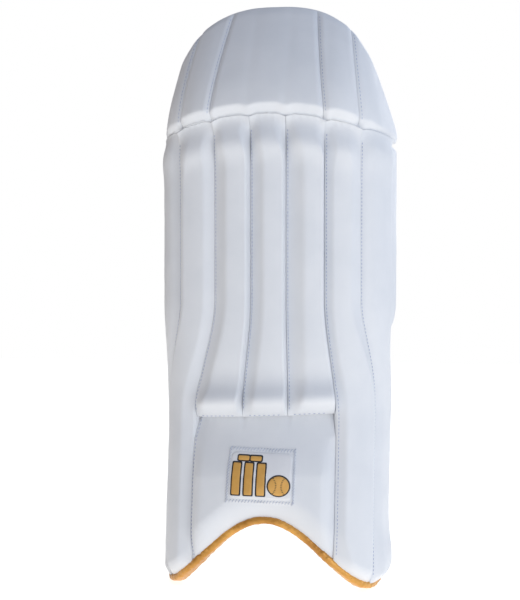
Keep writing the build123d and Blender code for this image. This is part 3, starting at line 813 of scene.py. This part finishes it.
def blown_up(obj, front, cap):
    """Fill a closed mesh with air as cloth, with the side on the lining held. front is the
    direction of the lining, and cap the farthest that a point may move."""
    remesh = obj.modifiers.new("remesh", "REMESH")
    remesh.mode = "VOXEL"
    remesh.voxel_size = CLOTH_VOXEL
    apply_modifiers(obj)
    start = vertex_values(obj, "co")
    on_lining = vertex_values(obj, "normal") @ front > 0.8
    held = obj.vertex_groups.new(name="held")
    held.add([int(k) for k in np.nonzero(on_lining)[0]], 1.0, "REPLACE")
    cloth = obj.modifiers.new("cloth", "CLOTH")
    cloth.settings.use_pressure = True
    cloth.settings.uniform_pressure_force = AIR_PRESSURE
    cloth.settings.vertex_group_mass = "held"
    cloth.settings.effector_weights.gravity = 0.0
    cloth.point_cache.frame_end = CLOTH_FRAMES
    for number in range(1, CLOTH_FRAMES + 1):
        bpy.context.scene.frame_set(number)
    apply_modifiers(obj)
    bpy.context.scene.frame_set(1)
    move = vertex_values(obj, "co") - start
    move -= np.outer(np.maximum(move @ front, 0.0), front)
    length = np.maximum(np.linalg.norm(move, axis=1, keepdims=True), 1e-9)
    move *= np.minimum(1.0, cap * MM / length)
    obj.data.vertices.foreach_set("co", (start + move).ravel())
    obj.vertex_groups.clear()
    finer = obj.modifiers.new("finer", "SUBSURF")
    finer.levels = 1
    apply_modifiers(obj)
    obj.data.polygons.foreach_set("use_smooth", [True] * len(obj.data.polygons))


def bolster(name, left, right, low, high, face, depth, body, node):
    """A stuffed roll of cloth sewn to the lining, with a welt round its edge."""
    middle_s, half_s = (left + right) / 2, (right - left) / 2
    middle_z, half_z = (low + high) / 2, (high - low) / 2
    u, v = np.meshgrid(np.linspace(-1, 1, 25), np.linspace(-1, 1, 61))
    s, z = middle_s + half_s * u, middle_z + half_z * v
    corner = np.minimum(half_s * (1 - np.abs(u)), half_z * (1 - np.abs(v)))
    deep = 2.5 + (depth - 5.5) * swell(corner, 10, 2)
    obj = shell(name, on_pad(s, z, face - 0.3), on_pad(s, z, face - 0.3 - deep))
    blown_up(obj, outward_at(middle_s, middle_z), SWELL_LIMIT)
    finish_piece(obj, PAD_CLOTH, body, (node,))
    turn = np.linspace(0, 2 * math.pi, 240)
    loop_s = middle_s + (half_s + WELT_OUT) * squared_off(np.cos(turn), 0.22)
    loop_z = middle_z + (half_z + WELT_OUT) * squared_off(np.sin(turn), 0.22)
    line_s, line_z = along_path(np.stack([loop_s, loop_z], -1), 1.5, 2).T
    path, normals = on_pad(line_s, line_z, face - 0.5), outward_at(line_s, line_z)
    finish_piece(tube(f"{name}_welt", path, WELT_RADIUS, 8, normals), WHITE_PU, body)


for name, layout in BOLSTERS.items():
    bolster(name, *layout)


# -------- bindings
FOLD_SQUARENESS = 0.65  # power of the folded strip's rounded section
# Half size of the section out of the pad and along it, and how far in front its middle lies.
GOLD_HALF_FRONT, GOLD_HALF_EDGE, GOLD_CENTRE, GOLD_WRINKLE = 7.7, 4.2, 3.2, 0.8
PIPING_HALF_FRONT, PIPING_HALF_EDGE, PIPING_CENTRE, PIPING_WRINKLE = 3.6, 1.9, 1.2, 0.12


def binding_section(name, line, half_front, half_edge, centre, wrinkle):
    """A folded strip round an edge. line holds the edge's points, the directions out of the pad,
    and those into the panel."""
    path, normals, lean = line
    angles = around_circle(22)
    across, up = (squared_off(f(angles), FOLD_SQUARENESS) for f in (np.cos, np.sin))
    rings = (path[:, None] + normals[:, None] * (centre + half_front * across)[:, None]
             + lean[:, None] * (half_edge + half_edge * up)[:, None])
    rough = roughly(rings * (1.0, 1.0, 1.6), 4.2, wrinkle, 5.0) + roughly(rings, 14.0, 0.8 * wrinkle, 8.0)
    middle = path[:, None] + normals[:, None] * centre + lean[:, None] * half_edge
    return ringed(name, rings + unit(rings - middle) * rough[..., None])


def edge_line(places, edge, step, up):
    """Even steps along an edge of the backing, with the directions out of the pad and into the
    panel. up is 1 where the panel lies above the edge, and -1 where it lies below."""
    line = along_path(np.stack([places, edge(places)], -1), step, 1)
    path = on_pad(line[:, 0], line[:, 1])
    normals = outward_at(line[:, 0], line[:, 1])
    lean = unit(np.cross(normals, np.gradient(path, axis=0)))
    return path, normals, lean * np.sign(up * lean[len(lean) // 2][2])


gold_line = edge_line(np.linspace(-REAR_EDGE, REAR_EDGE, 400), bottom_edge, 0.8, 1)
binding = binding_section("bottom_binding_gold", gold_line, GOLD_HALF_FRONT, GOLD_HALF_EDGE, GOLD_CENTRE,
                          GOLD_WRINKLE)
finish_piece(binding, GOLD_VINYL, "shin", ("bottom_binding",))

TOP_REAR = KNEE_SEAMS["rear"][0] - 2
top_line = edge_line(np.linspace(-TOP_REAR, TOP_REAR, 300), top_edge, 1.4, -1)
piping = binding_section("top_edge_piping", top_line, PIPING_HALF_FRONT, PIPING_HALF_EDGE, PIPING_CENTRE,
                         PIPING_WRINKLE)
finish_piece(piping, WHITE_PU, None, ("top_edge_binding",))
bend_with_knee(piping)


# -------- stitches
STITCH, PITCH = 2.6, 3.7
THREAD_RINGS, THREAD_AROUND = 5, 6
THREAD_END, THREAD_DIP = 0.55, 0.3  # share of its radius that a thread's end has, and its depth in the cloth


def threads(name, starts, ends, normals, radius, material, body, arch=0.35):
    """Short sewn threads from starts to ends that dip into the cloth at both ends."""
    starts, ends, normals = (np.asarray(v, float).reshape(-1, 3) for v in (starts, ends, normals))
    part = np.linspace(0, 1, THREAD_RINGS)
    height = (arch + THREAD_DIP) * np.sin(math.pi * part) - THREAD_DIP
    centre = starts[:, None] + (ends - starts)[:, None] * part[:, None] + normals[:, None] * height[:, None]
    side = unit(np.cross(ends - starts, normals))
    angles = around_circle(THREAD_AROUND)[:, None]
    size = radius * np.array([THREAD_END, *[1.0] * (THREAD_RINGS - 2), THREAD_END])[:, None, None]
    points = (centre[:, :, None] + side[:, None, None] * (np.cos(angles) * size)
              + normals[:, None, None] * (np.sin(angles) * size))
    one = tube_faces(THREAD_RINGS, THREAD_AROUND)
    step = THREAD_RINGS * THREAD_AROUND
    faces = [tuple(k + n * step for k in face) for n in range(len(starts)) for face in one]
    return finish_piece(outward(new_mesh(name, points, faces)), material, body)


def stitch_line(panel, s, z):
    """Starts, ends and normals of stitches along a line on a panel's face."""
    line = along_path(np.stack(np.broadcast_arrays(s, z), -1), PITCH, 0)
    at = line[:-1]
    to = at + unit(np.diff(line, axis=0)) * STITCH
    return (panel.face_point(at[:, 0], at[:, 1]), panel.face_point(to[:, 0], to[:, 1]),
            panel.normal((at[:, 0] + to[:, 0]) / 2, (at[:, 1] + to[:, 1]) / 2))


def sewn(name, lines, material, body, radius=0.3):
    parts = [np.concatenate(column) for column in zip(*lines)]
    return threads(name, *parts, radius, material, body)


SEAM_OFFSET, INSTEP_OFFSET, CROSS_OFFSET = 1.9, 2.2, 1.8  # of a line of stitches from its seam


def upright_lines(index):
    """Stitches along the seam between two rolls. Beside the instep they go on down its panel."""
    foot = INSTEP_SEAM + 8 if index in (3, 4) else bottom_edge(SEAMS_LOW[index]) + 14
    heights = np.linspace(foot, knee_seam(SEAMS_HIGH[index]) - 12, 80)
    lines = []
    if index == 2:
        low, heights = heights[heights <= INSTEP_SEAM + 4], heights[heights > INSTEP_SEAM + 4]
        lines.append(stitch_line(instep, INSTEP_LEFT + INSTEP_OFFSET, low))
    return lines + [stitch_line(rolls[index], seam_at(index, heights) + SEAM_OFFSET, heights)]


def instep_line(index):
    """Stitches over the instep seam, along the foot of a middle roll."""
    across = np.linspace(INSTEP_LEFT + 5, INSTEP_RIGHT - 5, 60)
    across = across[(across > SEAMS_LOW[index] + 5) & (across < SEAMS_LOW[index + 1] - 5)]
    return stitch_line(rolls[index], across, instep_seam(across) + CROSS_OFFSET)


def knee_line(bound, side, panel):
    """Stitches along a seam between two knee panels."""
    low = knee_seam(side * knee_bound(bound, KNEE_SEAM)) + 8
    high = top_edge(side * knee_bound(bound, TOP)) - 7
    heights = np.linspace(low, high, 50)
    return stitch_line(knee_panels[panel], side * (knee_bound(bound, heights) + CROSS_OFFSET), heights)


shin_lines = [line for index in ROLL_SEAMS for line in upright_lines(index)]
shin_lines += [instep_line(index) for index in MIDDLE_ROLLS]
sewn("shin_stitches", shin_lines, THREAD, "shin")
knee_lines = [knee_line("centre", 1, "knee_lateral_flank"), knee_line("centre", -1, "knee_medial_flank"),
              knee_line("flank", 1, "knee_lateral_wing"), knee_line("flank", -1, "knee_medial_wing")]
bend_with_knee(sewn("knee_stitches", knee_lines, THREAD, None, 0.26))

# -------- badge
BADGE_S, BADGE_Z, BADGE_TURN = -3.0, 121.0, math.radians(1.2)
UNDERSIDE = -0.8  # height of the edge of each raised shape, just inside the panel


def on_badge(u, v, height):
    """A point u across and v up the badge, height above the instep panel."""
    s = BADGE_S + u * math.cos(BADGE_TURN) + v * math.sin(BADGE_TURN)
    z = BADGE_Z - u * math.sin(BADGE_TURN) + v * math.cos(BADGE_TURN)
    return instep.face_point(s, z, height)


def button(name, centre, half, power, lift, rise, bevel):
    """A raised shape on the badge with a bevelled edge, rectangular for a high power and
    round for 2."""
    angles = around_circle(96)
    x, y = (squared_off(f(angles), 2 / power) for f in (np.cos, np.sin))
    steps = [(2 * bevel, 0.97), (bevel, 0.9), (0.3 * bevel, 0.65), (0, 0.3)]
    sizes = [((half[0] - 2 * bevel) * part, (half[1] - 2 * bevel) * part, 1.0) for part in (0.1, 0.4, 0.7)]
    sizes += [(half[0] - inset, half[1] - inset, part) for inset, part in steps]
    rings = [on_badge(centre[0] + wide * x, centre[1] + tall * y, lift + rise * part)
             for wide, tall, part in sizes]
    rings.append(on_badge(centre[0] + half[0] * x, centre[1] + half[1] * y, UNDERSIDE))
    return ringed(name, rings)


base = button("badge_base", (0, 0), (32.2, 27.2), 14, 0.05, 0.45, 1.6)
finish_piece(base, WHITE_PU, "shin")
patch = button("badge_panel", (0, 0), (29, 22.8), 11, 0.7, 1.3, 1.4)
finish_piece(patch, PATCH_PU, "shin", ("badge_patch",))

# A wicket and a ball: centre, half size and roundness of each gold shape.
EMBLEM = [((offset, -3.2), (3.6, 15.6), 14) for offset in (-22.4, -10.8, 0.8)]
EMBLEM += [((offset, 17.2), (5.2, 2.2), 6) for offset in (-16.6, -5.0)]
BALL = (17.4, -8.6)
EMBLEM.append((BALL, (9.6, 9.6), 2))
OUTLINE = 1.3  # width of the black line round each shape
outlines, fills = [], []
for k, (centre, half, power) in enumerate(EMBLEM):
    wider = (half[0] + OUTLINE, half[1] + OUTLINE)
    outlines.append(button(f"outline_{k}", centre, wider, power, 1.95, 0.4, 0.3))
    fills.append(button(f"fill_{k}", centre, half, power, 2.2, 0.8, 0.8))
finish_piece(join("badge_outline", outlines), EMBLEM_BLACK, "shin")
finish_piece(join("badge_wicket", fills), EMBLEM_GOLD, "shin", ("badge_emblem",))


def badge_threads(name, ticks, height, at, radius, material, arch):
    """Threads between pairs of points on the badge, with the panel's normal at one arc length."""
    starts, ends = ([on_badge(*tick[end], height) for tick in ticks] for end in (0, 1))
    normals = np.broadcast_to(instep.normal(np.array([at]), np.array([BADGE_Z])), (len(ticks), 3))
    threads(name, starts, ends, normals, radius, material, "shin", arch)


SEAM_HALF, SEAM_BOW, TICK_HALF = 2.4, 0.045, 0.9  # the ball's two bowed seams
ball_seam = [(BALL[0] + bend * (SEAM_HALF + SEAM_BOW * v * v), BALL[1] + v)
             for bend in (-1.0, 1.0) for v in np.linspace(-7.4, 7.4, 10)]
badge_threads("badge_ball_seam", [((u - TICK_HALF, v), (u + TICK_HALF, v)) for u, v in ball_seam], 3.0,
              12.0, 0.28, EMBLEM_BLACK, 0.2)

# Slanted stitches round the badge: half the length of each side, and its distance from the middle.
BORDER = [(30.5, 25.6, False), (30.5, -25.6, False), (26.2, 31.0, True), (26.2, -31.0, True)]
BORDER_PITCH, SLANT_ACROSS, SLANT_UP = 2.9, 1.0, 1.7
border = [(away, at) if upright else (at, away)
          for half, away, upright in BORDER for at in np.arange(-half, half + 0.1, BORDER_PITCH)]
badge_threads("badge_stitches", [((u - SLANT_ACROSS, v - SLANT_UP), (u + SLANT_ACROSS, v + SLANT_UP))
                                 for u, v in border], 0.75, BADGE_S, 0.45, PALE_THREAD, 0.6)


# -------- straps
STRAP_WIDTH, STRAP_THICK, HOOK_LENGTH, TAB_LENGTH, STRAP_SAG = 38.0, 1.8, 46.0, 52.0, 34.0
HOOK_THICK, HOOK_NARROWER, HOOK_LIFT = 1.0, 4.0, 0.05
TAB_THICK, TAB_WIDER, TAB_INSET = 1.6, 4.0, 4.2
ANKLE_REAR = 154.0  # where the ankle strap is sewn on; the other two are on the wings
SEWN_FROM, SEWN_TO = 34, 2  # a strap is sewn down between these distances from the rear edge
FREE_FROM, FREE_TO = 9, 6  # and hangs free between these distances from the ends of its arc
BOX_FROM, BOX_TO, BOX_HALF, BOX_PITCH, BOX_THREAD = 31, 7, 15, 3.2, 0.7
ANKLE_INNER, WING_INNER = -4.9, -3.7


def ribbon(name, line, z, width, thick):
    """A flat band of even width along a level line of (x, y) points, swaying a little."""
    along = unit(np.gradient(line, axis=0))
    normal = np.stack([along[:, 1], -along[:, 0], np.zeros(len(line))], -1)
    u = np.sin(np.linspace(-1, 1, 15) * math.pi / 2)
    half = thick / 2 * (1 - 0.55 * np.abs(u) ** 10)
    offsets = np.r_[half, -half[::-1]]
    rises = np.r_[u, u[::-1]] * width / 2
    centre = np.column_stack([line, np.full(len(line), z)])
    sway = 0.5 * np.sin(np.linspace(0, 9, len(line)))[:, None] * (rises / width)[None]
    rings = centre[:, None] + normal[:, None] * (offsets[None] + sway)[..., None]
    rings[..., 2] += rises[None]
    return ringed(name, rings)


def strap_circle(name):
    """Half the width that a strap spans, the y of its ends, and its radius."""
    hinge = joints[f"{name}_strap_open"]["pos_m"]
    x, y = -hinge[0] / MM, hinge[1] / MM
    return x, y, (x * x + STRAP_SAG ** 2) / (2 * STRAP_SAG)


def strap_arc(name, inset, start, end):
    """Points of a strap's arc behind the leg, between two angles in degrees from straight back."""
    x, y, radius = strap_circle(name)
    angles = np.radians(np.linspace(start, end, 60))
    return np.stack([(radius - inset) * np.sin(angles),
                     y + STRAP_SAG - radius + (radius - inset) * np.cos(angles)], -1)


def strap_angles(name):
    """The angle of a strap's ends in degrees, and the angle that a millimetre of it takes up."""
    x, y, radius = strap_circle(name)
    return math.degrees(math.asin(x / radius)), math.degrees(1 / radius)


def anchor_line(name, side, rear, inner):
    """Points along the leg side of the pad, where a strap or tab is sewn on."""
    places = np.linspace(rear - SEWN_FROM, rear - SEWN_TO, 14)
    return on_pad(side * places, STRAP_HEIGHTS[name], inner)[:, :2]


def box_stitch(piece, name, side, rear, inner, body):
    """A sewn box with a cross, on the leg side."""
    z = STRAP_HEIGHTS[name]
    s0, s1, z0, z1 = rear - BOX_FROM, rear - BOX_TO, z - BOX_HALF, z + BOX_HALF
    corners = [(s0, z0), (s1, z0), (s1, z1), (s0, z1), (s0, z0), (s1, z1), (s0, z1), (s1, z0)]
    starts, ends = [], []
    for a, b in zip(corners, corners[1:]):
        a, b = np.array(a), np.array(b)
        steps = max(int(np.linalg.norm(b - a) / BOX_PITCH), 1)
        for k in range(steps):
            starts.append(a + (b - a) * k / steps)
            ends.append(a + (b - a) * (k + BOX_THREAD) / steps)
    starts, ends = np.array(starts), np.array(ends)
    points = [on_pad(side * p[:, 0], p[:, 1], inner - 1.0) for p in (starts, ends)]
    normals = -outward_at(side * starts[:, 0], starts[:, 1])
    threads(f"{piece}_box_stitches", *points, normals, 0.32, PALE_THREAD, body)


for name, z in STRAP_HEIGHTS.items():
    ankle = name == "ankle"
    rear, inner = (ANKLE_REAR, ANKLE_INNER) if ankle else (WING_REAR, WING_INNER)
    owner, tab_body = ("shin", "shin") if ankle else ("medial_wing", "lateral_wing")
    reach, degree = strap_angles(name)
    sewn_end = anchor_line(name, -1, rear, inner)
    free = strap_arc(name, STRAP_THICK / 2, -reach + FREE_FROM * degree, reach - FREE_TO * degree)
    line = along_path(np.concatenate([sewn_end, free]), 2.0, 14)
    strap = ribbon(f"{name}_strap", line, z, STRAP_WIDTH, STRAP_THICK)
    finish_piece(strap, WEBBING, None, (f"{name}_strap_webbing",))
    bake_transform(strap)

    hook_line = strap_arc(name, STRAP_THICK + HOOK_LIFT + HOOK_THICK / 2,
                          reach - (FREE_TO + HOOK_LENGTH) * degree, reach - 6.8 * degree)
    hook_line = along_path(hook_line, 2.0, 1)
    hook = ribbon(f"{name}_hook_patch", hook_line, z, STRAP_WIDTH - HOOK_NARROWER, HOOK_THICK)
    finish_piece(hook, HOOK, f"{name}_strap", (f"{name}_strap_hook",))

    tab_end = strap_arc(name, TAB_INSET + TAB_THICK / 2, reach - TAB_LENGTH * degree,
                        reach - FREE_FROM * degree)
    tab_line = along_path(np.concatenate([tab_end, anchor_line(name, 1, rear, inner)[::-1]]), 2.0, 14)
    tab = ribbon(f"{name}_loop_tab", tab_line, z, STRAP_WIDTH + TAB_WIDER, TAB_THICK)
    finish_piece(tab, LOOP, tab_body, (f"{name}_strap_tab",))
    box_stitch(name, name, -1, rear, inner, owner)
    box_stitch(f"{name}_tab", name, 1, rear, inner, tab_body)

# -------- stage, light and camera
FLOOR_HALF, FLOOR_Z = 3000, -1
corners = [(x * FLOOR_HALF, y * FLOOR_HALF, FLOOR_Z) for x, y in ((-1, -1), (1, -1), (1, 1), (-1, 1))]
floor = new_mesh("floor", corners, [(0, 1, 2, 3)])
material, tree, shader = tree_of("floor")
set_inputs(shader, Base_Color=(0.5, 0.5, 0.5, 1), Emission_Color=(1, 0.985, 0.95, 1), Emission_Strength=0.9)
floor.data.materials.append(material)

scene = bpy.context.scene
scene.view_settings.view_transform = "Standard"
scene.world = bpy.data.worlds.new("studio")
scene.world.use_nodes = True
room = scene.world.node_tree
light = room.nodes["Background"]
# A room lit by a window: bluish daylight from the right, warmer and dimmer from the left.
axes = add(room, "ShaderNodeSeparateXYZ", add(room, "ShaderNodeTexCoord").outputs["Generated"])
across = add(room, "ShaderNodeMapRange", axes.outputs["X"], From_Min=-0.75, From_Max=0.25)
colour = add(room, "ShaderNodeMix", across.outputs["Result"], data_type="RGBA")
colour.inputs[6].default_value = (0.33, 0.265, 0.22, 1)
colour.inputs[7].default_value = (0.86, 0.99, 1.24, 1)
room.links.new(colour.outputs[2], light.inputs["Color"])
set_inputs(light, Strength=0.54)
# The camera sees plain white behind the pad.
seen = add(room, "ShaderNodeBackground", Color=(1, 1, 1, 1))
either = add(room, "ShaderNodeMixShader", add(room, "ShaderNodeLightPath").outputs["Is Camera Ray"],
             light.outputs["Background"], seen.outputs["Background"])
room.links.new(either.outputs["Shader"], room.nodes["World Output"].inputs["Surface"])


def soft_light(name, place, size, power, colour):
    """A round area light that points at the middle of the pad."""
    data = bpy.data.lights.new(name, "AREA")
    data.shape = "DISK"
    data.size = size
    data.energy = power
    data.color = colour
    obj = bpy.data.objects.new(name, data)
    scene.collection.objects.link(obj)
    obj.location = place
    obj.rotation_euler = (Vector((0, 0, 0.3)) - Vector(place)).to_track_quat("-Z", "Y").to_euler()


soft_light("key", (1.3, -1.5, 0.2), 0.7, 5.5, (0.97, 0.99, 1.0))
soft_light("back", (0.6, 1.8, 1.0), 1.4, 5, (0.97, 0.98, 1.0))

AZIMUTH, ELEVATION, DISTANCE, FOCAL = math.radians(9.3), math.radians(1.5), 1.35, 75.8
aim = Vector((-0.0162, -0.03, 0.2972))
level = DISTANCE * math.cos(ELEVATION)
camera = bpy.data.objects.new("camera", bpy.data.cameras.new("camera"))
camera.data.lens = FOCAL
camera.location = aim + Vector((level * math.sin(AZIMUTH), -level * math.cos(AZIMUTH),
                                DISTANCE * math.sin(ELEVATION)))
camera.rotation_euler = (aim - camera.location).to_track_quat("-Z", "Y").to_euler()
scene.collection.objects.link(camera)
scene.camera = camera
